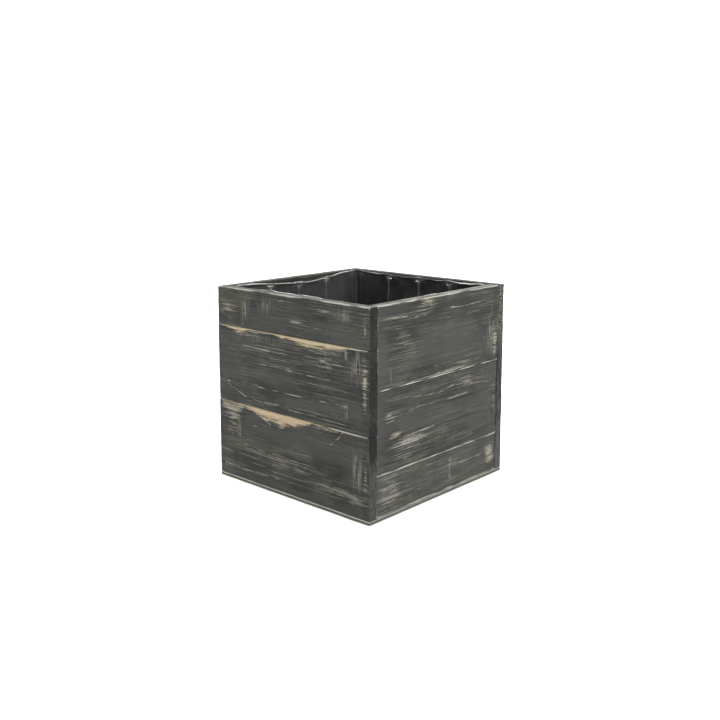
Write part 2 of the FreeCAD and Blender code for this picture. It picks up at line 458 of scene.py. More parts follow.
def black_film():
    """Thin glossy black film, crumpled finely.

    The marks attribute is, first, how pale the film is painted along its sharpest folds and its curled hem:
    stress whitening on the folds, and a painted highlight on their crests and on the hem where it catches the
    light. Second, it is pale dust, and on the left wall a painted sheen where the film catches the light.
    Third, it is whether the film lies in one of the box's upright corners, where it is gathered finely and
    looks dull."""
    graph = Graph("black_film", roughness=0.28, specular=0.55)
    place = graph.attribute("grain")
    whitened_and_glinting, dust_and_sheen, gathered = graph.parts(graph.attribute("marks"))
    crumple = graph.noise(place, (0.12, 0.12, 0.12), detail=4.0, roughness=0.6, distortion=0.6)
    fine = graph.noise(place, (0.9, 0.9, 0.9))
    dust = graph.noise(place, (0.05, 0.05, 0.03), (3, 3, 3), roughness=0.5)
    colour = graph.fade((0.019, 0.020, 0.020), (0.033, 0.033, 0.032), dust, 0.35, 0.72)
    # Pale dust, and on the left wall a painted sheen where the film catches the light
    colour = graph.mix(dust_and_sheen, colour, (0.085, 0.087, 0.087))
    # Painted highlight along the sharpest folds and the curled hem, with stress whitening on the folds
    colour = graph.mix(whitened_and_glinting, colour, (0.30, 0.285, 0.25))
    graph.set("Base Color", colour)
    gloss = graph.step(dust, 0.35, 0.7, 0.22, 0.42)
    graph.set("Roughness", graph.times_plus(gathered, 0.30, gloss))
    pleats = graph.noise(place, (0.9, 0.9, 0.05), (7, 2, 5), detail=2.0)
    height = graph.times_plus(fine, 0.12, crumple)
    height = graph.times_plus(graph.times(pleats, gathered), 1.2, height)
    graph.set("Normal", graph.bump(height, 0.8 * MM, 0.35))
    return graph.material


def steel(name, colour, roughness):
    """Drawn steel wire, finely streaked."""
    graph = Graph(name, metallic=1.0)
    place = graph.node("ShaderNodeTexCoord", "Object")
    streaks = graph.noise(place, (900, 900, 2500), detail=3.0)
    blotches = graph.noise(place, (260, 260, 260), detail=2.0)
    darker = tuple(0.55 * part for part in colour)
    graph.set("Base Color", graph.fade(colour, darker, blotches, 0.35, 0.7))
    graph.set("Roughness", graph.step(streaks, 0.3, 0.7, roughness - 0.08, roughness + 0.12))
    graph.set("Normal", graph.bump(streaks, 0.02 * MM, 0.5))
    return graph.material


# ----------------------------------------------------------------- wear ----

# A patch is a ragged cloud, a stroke a ragged line, and a wedge hangs from a level and tapers to both ends.
# All lie on a board's outer face, in millimetres from its lower left corner as seen from outside. kind is
# worn, bare, sawn or veiled, which is an even wash that hides the grain.
Patch = namedtuple("Patch", "u v half_length half_height strength kind", defaults=["worn"])
Stroke = namedtuple("Stroke", "u0 v0 u1 v1 width strength kind", defaults=["worn"])
Wedge = namedtuple("Wedge", "start deepest end top depth strength kind", defaults=["worn"])
KINDS = ("worn", "bare", "sawn", "veiled")

WEAR = {
    "front_board_top": [
        Patch(10, 14, 12, 9, 0.55), Patch(10, 15, 9, 9, 0.14, "bare"), Patch(58, 7, 26, 10, 0.9, "veiled"),
        Patch(130, 5, 30, 8, 0.9, "veiled"), Patch(31, 14, 5, 11, 0.9, "sawn"),
        Stroke(28.5, 1, 28.5, 8, 1.2, 1, "sawn"), Patch(54, 20, 9, 6, 0.8, "sawn"),
        Patch(72, 24, 11, 3, 0.5), Patch(88, 11, 12, 2.5, 0.62), Stroke(92, 10, 122, 9.2, 0.8, 0.7),
        Patch(116, 22, 12, 2.5, 0.5), Patch(134, 21, 6, 6, 0.8, "sawn"), Patch(136, 22, 6, 5, 0.45),
        Patch(153.5, 15, 2, 9, 0.7),
    ],
    "front_board_middle": [
        Stroke(2, 59.6, 142, 59.6, 1.3, 0.8, "bare"), Wedge(60, 108, 140, 59.5, 5.6, 1.2, "bare"),
        Wedge(13, 25, 36, 59.5, 5, 0.95, "bare"), Patch(16, 30, 24, 26, 0.8, "veiled"),
        Patch(62, 27, 36, 7, 0.9, "veiled"), Patch(110, 11, 34, 5, 0.8, "veiled"),
        Patch(148, 14, 9, 12, 0.8, "veiled"), Wedge(8, 28, 64, 59.5, 8.5, 0.95),
        Wedge(56, 116, 146, 59.5, 9, 0.85), Patch(46, 54, 22, 4, 0.6, "sawn"),
        Stroke(20, 46.6, 60, 45.6, 0.7, 0.8), Stroke(60, 45.6, 92, 46.4, 0.6, 0.5),
        Stroke(96, 47.6, 138, 44.6, 0.8, 0.8), Patch(116, 46, 14, 7, 0.6), Patch(119, 43, 6, 5, 0.7),
        Stroke(28, 34.6, 126, 34, 0.7, 0.75), Patch(79, 34.4, 5, 1.5, 0.9), Patch(70, 40, 50, 8, 0.25),
        Patch(110, 27, 26, 5, 0.4), Stroke(126, 27, 138, 26, 1.4, 0.7),
        Stroke(10, 17.6, 70, 16.6, 0.7, 0.85), Stroke(70, 16.6, 140, 17.6, 0.7, 0.85),
        Stroke(10, 15, 17, 17, 0.6, 0.9), Stroke(10, 13.4, 33, 5.6, 0.7, 1),
        Stroke(33, 6.6, 140, 4, 0.7, 0.85), Patch(88, 6, 40, 2.5, 0.4),
        Stroke(136, 8, 136, 24, 1.8, 0.95, "sawn"), Stroke(136, 50, 136, 59, 2, 0.95, "sawn"),
        Patch(146, 46, 5, 12, 1, "sawn"), Patch(153.5, 33, 2.4, 19, 1.1),
        Patch(153.5, 38, 2, 9, 0.22, "bare"),
    ],
    "front_board_bottom": [
        Stroke(4, 59.6, 118, 59.6, 1.2, 0.8, "bare"), Stroke(96, 59, 138, 56.2, 0.9, 0.75, "bare"),
        Wedge(4, 14, 26, 59.5, 9, 0.5, "bare"), Wedge(28, 72, 104, 59.5, 9.6, 1.2, "bare"),
        Patch(92, 42, 62, 10, 1, "veiled"), Patch(80, 2, 90, 4.5, 0.9, "veiled"),
        Patch(8, 26, 10, 6, 0.7, "veiled"), Wedge(2, 16, 30, 59.5, 22, 0.95),
        Patch(18, 40, 5, 7, 0.35, "bare"), Stroke(28, 58.2, 46, 54.4, 0.6, 1),
        Stroke(46, 54.4, 60, 48.6, 0.7, 1), Stroke(58, 48.4, 38, 44.6, 0.6, 0.7),
        Stroke(60, 48.4, 80, 48.6, 0.7, 0.7), Stroke(80, 48.6, 96, 54.5, 0.6, 0.6),
        Stroke(104, 57.6, 128, 55.2, 0.7, 0.8), Stroke(134, 59, 128, 52, 0.8, 0.75, "bare"),
        Stroke(130, 54, 118, 45, 0.7, 0.8), Patch(14, 37, 9, 9, 0.5), Patch(31, 28, 9, 4, 0.45),
        Patch(23, 38, 2.5, 14, 1, "sawn"), Patch(75, 24, 60, 9, 0.46), Patch(60, 16, 45, 5, 0.3),
        Patch(128, 14, 28, 3.5, 0.75), Patch(146, 12, 9, 5, 0.6), Patch(147, 34, 5, 15, 0.95, "sawn"),
        Patch(154.5, 30, 1.8, 12, 0.8), Patch(9, 18, 9, 5, 0.5), Stroke(0, 8.4, 71, 8.2, 0.8, 1.05),
        Patch(84, 8, 12, 2, 0.4),
    ],
    "right_board_top": [
        Patch(53, 55, 14, 7, 0.9), Patch(55, 56, 13, 6, 0.28, "bare"), Patch(3, 22, 9, 28, 1, "veiled"),
        Patch(80, 27, 50, 13, 0.9, "veiled"), Stroke(3, 50.4, 32, 48.2, 0.7, 0.85),
        Stroke(28, 47.6, 54, 47.2, 1, 0.8), Stroke(80, 48.8, 98, 47.6, 0.7, 0.9),
        Stroke(98, 47.6, 120, 49.4, 0.7, 0.9), Stroke(68, 42.4, 100, 41.8, 0.7, 0.75),
        Stroke(100, 41.8, 124, 43.6, 0.7, 0.8), Patch(34, 43, 28, 4, 0.5), Patch(27, 31, 16, 10, 0.55),
        Patch(126, 38, 14, 12, 0.45), Patch(133, 24, 6, 17, 0.9, "sawn"), Patch(138, 16, 3.5, 14, 0.9),
        Stroke(14, 1, 14, 16, 0.8, 0.6, "sawn"), Stroke(14, 9.4, 86, 8.8, 0.8, 0.5),
        Patch(96, 6.5, 13, 3.5, 0.7), Patch(76, 2.2, 45, 1.6, 0.8),
    ],
    "right_board_middle": [
        Stroke(10, 52, 44, 50, 0.7, 0.5), Patch(3, 30, 7, 34, 0.9, "veiled"),
        Patch(55, 31, 32, 7, 1, "veiled"), Patch(124, 18, 24, 18, 0.9, "veiled"),
        Stroke(34, 50, 66, 46.2, 0.7, 0.8), Stroke(66, 46.2, 88, 49.6, 0.8, 0.95),
        Stroke(88, 49.6, 134, 43.6, 0.7, 0.8), Patch(101, 51, 12, 6, 0.7),
        Patch(103, 51, 10, 5, 0.2, "bare"), Patch(13, 40, 8, 6, 0.6), Patch(11, 40, 5, 4, 0.18, "bare"),
        Stroke(13, 41.4, 92, 40.4, 0.8, 0.52), Patch(92, 41, 16, 3.5, 0.65),
        Patch(84, 41, 9, 2, 0.2, "bare"), Patch(20, 26, 8, 2.6, 1), Patch(19, 26.4, 7, 2, 0.28, "bare"),
        Stroke(28, 23.2, 72, 23.2, 0.9, 1.05), Stroke(72, 23.2, 120, 22.4, 0.7, 0.6),
        Patch(33, 18, 24, 6, 0.95), Patch(30, 18, 16, 5, 0.14, "bare"), Patch(30, 8.4, 26, 3, 0.6),
        Patch(104, 8, 30, 4, 0.45), Patch(75, 13, 40, 3, 0.35), Patch(138, 30, 3, 16, 0.6),
        Patch(134, 42, 4, 10, 0.7, "sawn"),
    ],
    "right_board_bottom": [
        Patch(60, 16, 80, 22, 0.4), Patch(64, 12, 14, 14, 0.7, "veiled"),
        Patch(108, 10, 20, 10, 0.7, "veiled"), Patch(15, 16, 17, 14, 0.75),
        Stroke(52, 25.4, 80, 24.6, 0.8, 0.8), Stroke(82, 4, 83, 25, 2, 1.1, "sawn"),
        Patch(83, 13, 3, 9, 0.55), Patch(62, 16, 16, 3, 0.5), Stroke(94, 17, 128, 16.6, 0.9, 0.7),
        Patch(108, 22, 18, 3, 0.45), Patch(134, 15, 6.5, 10, 1.15), Patch(134, 15, 5, 8, 0.32, "bare"),
    ],
}

# How strongly the lower arris, the upper arris and the two ends of a board are rubbed
ARRIS_WEAR = {
    "front": (0.15, 1.35, 0.15),
    "right": (1.85, 0.25, 0.60),
    "back": (0.25, 1.50, 0.35),
    "left": (1.60, 0.30, 0.50),
}
# How pale the wash is on a board's faces, how far it veils the grain of a whole wall, and how pale the rim's
# top
# is painted: worn, and partly a painted highlight for the light from above
WASH = {"right_board_bottom": 0.22}
VEIL = {"front": 0.00, "right": 0.22, "back": 0.12, "left": 0.18}
RIM_WEAR_AND_LIGHT = {"front": 0.42, "right": 0.78, "back": 0.30, "left": 0.12}
# How pale the end grain is at these heights. On a wall's right ends it is PLAIN_END at most.
END_LEVELS = mm(0, 30, 45, 56, 74, 98, 118, 150)
END_TONE = {
    "front": (1.10, 0.75, -0.05, -1.10, 0.10, -0.50, 0.10, -0.40),
    "right": (0.60, 0.55, 0.50, 0.50, 0.45, 0.40, 0.40, 0.35),
    "back": (0.80, 0.65, 0.20, 0.15, 0.20, 0.20, 1.80, 1.40),
    "left": (0.70, 0.55, 0.50, 0.40, 0.30, 0.30, 0.30, 0.40),
}
PLAIN_END = 0.6
END_HOLES = mm(96, 120)  # from here up, the end grain fills with holes


def invented_wear(length, height, row, seed):
    """Marks like those above, for a board of the walls that face away."""
    rng = np.random.default_rng(seed)
    length, height = length / MM, height / MM
    marks = []
    for _ in range(round(height / 7)):
        u0, v0 = rng.uniform(0, 0.6 * length), rng.uniform(3, height - 3)
        u1, v1 = min(u0 + rng.uniform(25, 90), length), v0 + rng.uniform(-3, 3)
        marks.append(Stroke(u0, v0, u1, v1, rng.uniform(0.6, 1.0), rng.uniform(0.5, 0.9)))
    for _ in range(round(height / 12)):
        half_length, half_height = rng.uniform(5, 14), rng.uniform(3, 9)
        u, v = rng.uniform(0, length), rng.uniform(0, height)
        marks.append(Patch(u, v, half_length, half_height, rng.uniform(0.35, 0.6)))
    for _ in range(3):
        u, v = rng.uniform(0, length), rng.uniform(0, height)
        marks.append(Patch(u, v, rng.uniform(14, 40), rng.uniform(5, 12), 0.9, "veiled"))
    u = rng.uniform(0.2, 0.8) * length
    reach, depth, strength = rng.uniform(18, 40), rng.uniform(3, 8), rng.uniform(0.85, 1.1)
    if row != "top":
        marks.append(Wedge(u - reach, u, u + reach, height, depth, strength, "bare"))
    for u in (rng.uniform(4, 30), length - rng.uniform(4, 20)):
        v = rng.uniform(0.2, 0.8) * height
        marks.append(Patch(u, v, rng.uniform(5, 10), rng.uniform(9, 22), 0.8, "sawn"))
    for u in (3.5, length - 3.5):
        marks.append(Patch(u, rng.uniform(0.3, 0.7) * height, 3, rng.uniform(10, 20), 0.7))
    marks.append(Stroke(0, height - 0.6, length, height - 0.6, 1.2, 0.9))
    return marks


def mark_field(mark, points, seed):
    """How strong one mark is at each point of the board."""
    u, v = points[:, 0] / MM, points[:, 1] / MM
    ragged = noise(points, mm(6, 1.4, 6), seed) + 0.5 * noise(points, mm(1.6, 0.7, 2), seed + 1)
    if isinstance(mark, Patch):
        across = ((u - mark.u) / mark.half_length) ** 2 + ((v - mark.v) / mark.half_height) ** 2
        return mark.strength * np.exp(-0.9 * across * (1 + 0.35 * ragged)) * (1 + 0.3 * ragged)
    if isinstance(mark, Wedge):
        share = np.interp(u, [mark.start, mark.deepest, mark.end], [0, 1, 0])
        uneven = 1 + 0.25 * noise(points, mm(9, 90, 90), seed + 2)
        depth = mark.depth * share ** 0.6 * uneven + 0.01
        below = (mark.top - v) / depth
        return mark.strength * smooth(1.45, 0.20, below + 0.20 * ragged) * smooth(0, 0.12, share)
    run = np.array([mark.u1 - mark.u0, mark.v1 - mark.v0])
    along = ((u - mark.u0) * run[0] + (v - mark.v0) * run[1]) / (run @ run)
    nearest = np.clip(along, 0, 1)
    waver = 0.7 * noise(points, mm(17, 50, 50), seed + 2)
    off = np.hypot(u - mark.u0 - nearest * run[0], v + waver - mark.v0 - nearest * run[1])
    fading = smooth(-0.04, 0.08, along) * smooth(1.04, 0.92, along)
    return 1.1 * mark.strength * fading * np.exp(-((off / mark.width) ** 2)) * (0.85 + 0.35 * ragged)


# --------------------------------------------------------------- boards ----

ARRIS_RADIUS = 0.6 * MM
ARRIS_REACH = 1.05 * MM  # how far from an arris the rubbing reaches
PIT_RADIUS = 1.05 * MM  # a brad's mouth, just wider than its head
PIT_DEPTH = 1.1 * MM  # deeper than the head's top, so that the head shows


def brad_places(wall):
    """The brads that enter a wall's outer face: each one's distance along the wall's length, and height."""
    places = []
    for hand in ("left", "right"):
        node = f"corner_brads_{wall}_{hand}"
        points = node_points(node)
        along = float(points[:, 0].min() + points[:, 0].max()) / 2
        places += [(along, height) for height in clusters(points[:, 2], 2.5 * MM)]
    return places


def board_axes(wall, node):
    """A board's corner where u, v and w start, and its length, height and thickness."""
    low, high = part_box(node)
    corner = np.where(WALL_U[wall] + WALL_W[wall] + UP > 0, low, high)
    size = np.array(high - low)
    return corner, abs(size @ WALL_U[wall]), size[2], abs(size @ WALL_W[wall])


def wear_fields(marks, surface, seed):
    """A board's field for each kind of mark, from 0 to about 1."""
    fields = {kind: np.zeros(len(surface)) for kind in KINDS}
    for number, mark in enumerate(marks):
        field = mark_field(mark, surface, seed + 7 * number)
        fields[mark.kind] = np.maximum(fields[mark.kind], field)
    return fields


def board_pits(wall, corner, height):
    """The brads' mouths in a board's outer face: each one's u and v."""
    if wall in ("right", "left"):
        return []
    pits = []
    for along, level in brad_places(wall):
        u, v = (along - corner[0]) * WALL_U[wall][0], level - corner[2]
        if 0 < v < height:
            pits.append((u, v))
    return pits


def arris_rub(wall, row, surface, size, at_end, seed):
    """How far the board's arrises are rubbed."""
    length, height, thickness = size
    u, v, w = surface.T
    arris = np.sort(np.column_stack([u, length - u, v, height - v, w, thickness - w]), axis=1)[:, 1]
    lower, upper, ends = ARRIS_WEAR[wall]
    inside = smooth(0.4 * thickness, 0.6 * thickness, w)
    if row == "top":
        upper = 1.15 - inside * (0.25 if wall in ("front", "right") else 0.75)
    rubbed = np.where(v < 2 * MM, lower * (1 - 0.7 * inside), np.where(v > height - 2 * MM, upper, ends))
    patchy = 0.72 + 0.50 * noise(surface, mm(9, 5, 5), seed + 301)
    rub = np.exp(-((arris / ARRIS_REACH) ** 2)) * rubbed * patchy * (1 - 0.92 * at_end)
    if row != "top":
        rub *= smooth(0.2 * MM, 3 * MM, np.minimum(u, length - u) + 3 * MM * (v < height / 2))
    return rub


def face_wear(wall, row, surface, size, marks, seed):
    """How far the board is worn, bared and saw-marked. Worn is negative where a wash veils the grain.
    On the rim's top it also holds a painted highlight for the light from above.
    """
    height, thickness = size[1:]
    fields = wear_fields(marks, surface, seed)
    v, w = surface[:, 1], surface[:, 2]
    # The rim's top is painted paler: real wear, and partly a painted highlight for the light from above
    on_top = smooth(height - 0.25 * MM, height - 0.05 * MM, v) * (row == "top")
    rim_worn_and_lit = on_top * RIM_WEAR_AND_LIGHT[wall] * (1 + 0.5 * noise(surface, mm(22, 2, 3), seed + 302))
    outside = smooth(0.9 * thickness, 0.2 * thickness, w)
    worn = np.maximum(fields["worn"] * outside, rim_worn_and_lit)
    veil = np.clip(fields["veiled"] + VEIL[wall], 0, 1) * outside
    worn = worn - veil * (1 - np.clip(1.6 * worn, 0, 1))
    return worn, fields["bare"] * outside, fields["sawn"] * outside


def board_shape(surface, size, pits, bare, sawn, at_end, seed):
    """The board's surface with an uneven face, pits, and round arrises, more worn where the wood is bare."""
    thickness = size[2]
    u, v, w = surface.T
    radius = ARRIS_RADIUS * (1 + 0.35 * noise(surface, mm(11, 8, 8), seed + 303)) + 0.9 * MM * bare
    core = np.clip(surface, radius[:, None], size - radius[:, None])
    out = surface - core
    out /= np.linalg.norm(out, axis=1)[:, None]
    shaped = core + out * radius[:, None]
    swell = 0.07 * MM * (1 + noise(surface, mm(38, 13, 20), seed + 304))
    ridges = 0.030 * MM * (1 + noise(surface, mm(26, 1.5, 3), seed + 305))
    chatter = 0.05 * MM * sawn * (1 + noise(surface, mm(1.7, 16, 9), seed + 306))
    torn = 0.10 * MM * at_end * (1 + noise(surface, mm(ENDLESS, 1.6, 1.6), seed + 307))
    sunk = (swell + ridges + chatter + torn) * smooth(thickness, thickness - 1 * MM, w)
    for pit_u, pit_v in pits:
        away = np.hypot(u - pit_u, v - pit_v)
        wall_of_pit = smooth(PIT_RADIUS + 0.12 * MM, PIT_RADIUS - 0.12 * MM, away) * (w < 0.1 * MM)
        dished = 0.16 * MM * np.exp(-((away / (1.9 * MM)) ** 2)) * (w < 0.1 * MM)
        sunk = np.maximum(sunk + dished, PIT_DEPTH * wall_of_pit)
    return shaped - out * sunk[:, None]


def make_board(wall, row, material, seed):
    node = f"{wall}_board_{row}"
    corner, length, height, thickness = board_axes(wall, node)
    size = np.array([length, height, thickness])
    pits = board_pits(wall, corner, height)
    u_lines = samples(length, 0.6 * MM, {round(u, 6) for u, v in pits})
    v_lines = samples(height, 0.5 * MM, {round(v, 6) for u, v in pits})
    w_lines = samples(thickness, 0.5 * MM)
    # The hidden inner face is coarse
    inner_rows = np.unique([*range(0, len(v_lines) - 1, 12), len(v_lines) - 1, len(v_lines) - 9])
    inner_columns = np.unique([*range(0, len(u_lines) - 1, 16), len(u_lines) - 1])
    surface, corners, counts = block_surface(
        u_lines, v_lines, w_lines, {"w_high": (inner_rows, inner_columns)})

    marks = WEAR.get(node) or invented_wear(length, height, row, seed)
    worn, bare, sawn = face_wear(wall, row, surface, size, marks, seed)
    u = surface[:, 0]
    at_end = (np.minimum(u, length - u) < 0.02 * MM).astype(float)
    on_arris = arris_rub(wall, row, surface, size, at_end, seed)
    shaped = board_shape(surface, size, pits, bare, sawn, at_end, seed)
    placed = corner + shaped[:, :1] * WALL_U[wall] + shaped[:, 1:2] * UP + shaped[:, 2:] * WALL_W[wall]
    mesh = mesh_of(node, placed, corners, counts)
    shift = np.random.default_rng(seed + 400).uniform(50, 900, 3)
    add_attribute(mesh, "grain", surface / MM + shift)
    tone = np.interp(placed[:, 2], END_LEVELS, END_TONE[wall])
    tone += 0.25 * noise(surface, mm(ENDLESS, 30, 3), seed + 308)
    tone = np.where(u > length / 2, np.minimum(tone, PLAIN_END), tone)
    tone = np.where(at_end > 0, tone, WASH.get(node, 0))
    sawn = np.where(at_end > 0, smooth(*END_HOLES, placed[:, 2]), sawn)
    add_attribute(mesh, "marks", np.column_stack([worn, bare, sawn]))
    add_attribute(mesh, "rub", np.column_stack([on_arris, at_end, tone]))
    return add_piece(f"{wall}_{row}_board", mesh, material, "stained_wood", node)


# ----------------------------------------------------------------- base ----


def make_base(material):
    """The plywood base, with uneven sawn edges and the brads' pits in its underside."""
    low, high = (np.array(corner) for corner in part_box("base_panel"))
    size = high - low
    points = node_points("base_brads")
    heads = points[points[:, 2] < points[:, 2].min() + 0.1 * MM]
    pits = []
    for x in clusters(heads[:, 0] - low[0], 2.5 * MM):
        near = heads[np.abs(heads[:, 0] - low[0] - x) < 1.5 * MM]
        pits += [(x, y) for y in clusters(near[:, 1] - low[1], 2.5 * MM)]
    x_lines = samples(size[0], 0.6 * MM, {round(x, 6) for x, y in pits}, 1.4 * MM, 0.28 * MM)
    y_lines = samples(size[1], 0.6 * MM, {round(y, 6) for x, y in pits}, 1.4 * MM, 0.28 * MM)
    z_lines = samples(size[2], 0.3 * MM)

    def kept(lines, places):
        near_pit = np.min(np.abs(lines[:, None] - np.array(sorted(places))), axis=1) < 1.45 * MM
        return np.unique([0, len(lines) - 1, *range(4, len(lines) - 4, 14), *np.flatnonzero(near_pit)])

    grid = (kept(y_lines, {y for x, y in pits}), kept(x_lines, {x for x, y in pits}))
    surface, corners, counts = block_surface(x_lines, y_lines, z_lines, {"w_low": grid, "w_high": grid})
    radius = 0.35 * MM
    core = np.clip(surface, radius, size - radius)
    out = surface - core
    out /= np.linalg.norm(out, axis=1)[:, None]
    shaped = core + out * radius
    side = (np.abs(out[:, 2]) < 0.5).astype(float)
    sunk = side * 0.10 * MM * (1 + noise(surface, mm(7, 7, 1.1), 501))
    for x, y in pits:
        away = np.hypot(surface[:, 0] - x, surface[:, 1] - y)
        pit = smooth(PIT_RADIUS + 0.15 * MM, PIT_RADIUS - 0.15 * MM, away) * (surface[:, 2] < 0.1 * MM)
        sunk = np.maximum(sunk, PIT_DEPTH * pit)
    shaped -= out * sunk[:, None]
    mesh = mesh_of("base_panel", shaped + low, corners, counts)
    add_attribute(mesh, "grain", surface / MM)
    # The front edge is the cleanest, and the underside and the other edges are greyed
    front = (surface[:, 1] < 0.5 * MM).astype(float)
    add_attribute(mesh, "marks", np.column_stack([1 - 0.75 * front, front, 0 * front]))
    add_attribute(mesh, "end", side)
    return add_piece("base", mesh, material, "plywood", "base_panel")


# ---------------------------------------------------------------- liner ----

FILM_THICKNESS = 0.15 * MM
FILM_RADIUS = 4.5 * MM  # the film doesn't reach right into the foot of the walls
CORNER_SHARE = 0.5  # its radius in the upright corners is this share of that
HEM = 2.5 * MM  # the strip along the edge that curls over
HEM_RADIUS = 0.8 * MM

# How far the film's edge stands above the plain liner's edge, in millimetres, at each staple of a wall and at
# the middle of each span between them, from left to right as seen from outside the box
EDGE_LIFT = {
    "front": (1.0, 0.1, 2.3, 1.3, 1.6, 2.0, 0.2, 1.3, 0.9),
    "right": (1.0, 0.2, 0.4, 0.5, 1.8, 0.4, 0.0, 0.3, 1.1),
    "back": (1.4, 0.2, 1.1, 0.0, 1.2, -0.2, 1.0, 0.4, 1.5),
    "left": (1.7, 0.8, -0.8, -2.5, -2.6, -1.4, -0.4, 1.0, 1.8),
}
# How far the free edge leans inwards at the same places
EDGE_LEAN = {
    "front": (0.5, 1.2, 0.8, 1.0, 1.2, 0.9, 0.7, 1.1, 0.4),
    "right": (0.5, 0.9, 0.7, 1.2, 1.3, 0.8, 0.7, 1.0, 0.4),
    "back": (0.6, 3.2, 0.7, 1.0, 0.6, 1.4, 0.5, 0.9, 0.5),
    "left": (0.4, 1.0, 0.6, 1.7, 0.7, 1.9, 0.6, 1.5, 0.8),
}


def wall_reading(values, starts, middles, perimeter, places):
    """Values given at each wall's staples and between them, read smoothly at places round the perimeter."""
    knots, readings = [], []
    for wall in WALLS:
        at = np.array(middles[wall])
        between = (at[1:] + at[:-1]) / 2
        knots += list(starts[wall] + np.sort(np.concatenate([at, between])))
        readings += [value * MM for value in values[wall]]
    knots, readings = np.array(knots), np.array(readings)
    knots = np.concatenate([knots - perimeter, knots, knots + perimeter])
    readings = np.tile(readings, 3)
    step = 6 * MM
    taps = (-1.0, -0.5, 0.0, 0.5, 1.0)
    return sum(np.interp(places + tap * step, knots, readings) for tap in taps) / len(taps)


def staple_middles(wall):
    """The staples' distances along a wall's inside, and the level of their middles."""
    low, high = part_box("liner")
    points = node_points(f"staples_{wall}")
    axis = 0 if WALL_U[wall][0] else 1
    along = np.array(clusters(points[:, axis], 12 * MM))
    forwards = WALL_U[wall][axis] > 0
    distances = along - low[axis] if forwards else high[axis] - along
    return sorted(distances), float(points[:, 2].min() + points[:, 2].max()) / 2


def crease(along, level, start, run, width):
    """A sharp fold, highest on the line from start along run, and fading towards the line's far end."""
    run = np.array(run)
    share = ((along - start[0]) * run[0] + (level - start[1]) * run[1]) / (run @ run)
    off = np.hypot(along - start[0] - share * run[0], level - start[1] - share * run[1])
    return np.exp(-off / width) * smooth(-0.02, 0.03, share) * smooth(1.0, 0.1, share)


def film_lattice(size, middles):
    """The plain liner's inside: fine at its bends, at its edge and at the staples."""
    fine_x = {round(at, 6) for at in middles["front"]}
    fine_y = {round(at, 6) for at in middles["right"]}
    bends = np.linspace(0.8, 5.6, 6) * MM
    x_lines, y_lines = (
        merged(samples(side, 2.2 * MM, fine, 6.2 * MM, 0.62 * MM), bends, side - bends)
        for side, fine in ((size[0], fine_x), (size[1], fine_y))
    )
    hem_lines = mm(0, 0.35, 0.7, 1, 1.3, 1.6, 1.9, 2.2, 2.5, 2.8)
    hem_lines = np.append(hem_lines, mm(3.2, 3.8, 4.6, 5.6, 6.8, 8.2, 9.8, 11.6, 13.6, 15.8))
    z_lines = merged([0], bends, np.linspace(8 * MM, size[2] - 18 * MM, 28), size[2] - hem_lines)
    # Well inside, the floor keeps every other line
    floor_lines = [
        np.unique([*range(14), *range(14, count - 14, 2), *range(count - 14, count)])
        for count in (len(y_lines), len(x_lines))
    ]
    return block_surface(x_lines, y_lines, z_lines, {"w_low": floor_lines}, open_top=True)


def past(along, place, perimeter):
    """How far each point along the perimeter is past a place on it, the shorter way round."""
    return (along - place + perimeter / 2) % perimeter - perimeter / 2


def film_folds(along, z, height, perimeter, staples, staple_level):
    """Folds that hang from the staples and some that don't, and how pale the sharpest are painted:
    stress whitening, and a painted highlight on their crests.
    """
    rng = np.random.default_rng(77)
    folds, pale_creases_and_glints = np.zeros(len(z)), np.zeros(len(z))
    for number, middle in enumerate(staples):
        near = past(along, middle, perimeter)
        pull = 0.3 if number % 5 in (0, 4) else 1  # the staples next to a corner pull the film less
        drop = rng.uniform(26, 58) * MM
        start, run = (rng.uniform(-1, 1) * MM, staple_level - 0.8 * MM), (rng.uniform(-2, 2) * MM, -drop)
        folds = np.maximum(folds, pull * rng.uniform(0.7, 1.0) * crease(near, z, start, run, 0.9 * MM))
        # How pale this fold's crease is painted: stress whitening, and a painted highlight on its crest
        paleness = pull * rng.uniform(0.1, 1.0)
        pale_creases_and_glints = np.maximum(pale_creases_and_glints, paleness * crease(near, z, start, run, 0.35 * MM))
        for side in (-1, 1):
            slant = side * rng.uniform(6, 20) * MM
            folds = np.maximum(folds, pull * rng.uniform(0.3, 0.6) * crease(
                near, z, (side * 4.6 * MM, staple_level), (slant, -rng.uniform(14, 34) * MM), 1.0 * MM))
    for _ in range(14):
        start = (rng.uniform(0, perimeter), rng.uniform(0.25, 0.95) * height)
        run = (rng.uniform(-30, 30) * MM, -rng.uniform(15, 60) * MM)
        strength = rng.uniform(0.25, 0.6)
        fold = crease(past(along, start[0], perimeter), z, (0, start[1]), run, 1.3 * MM)
        folds = np.maximum(folds, strength * fold)
    return folds, pale_creases_and_glints


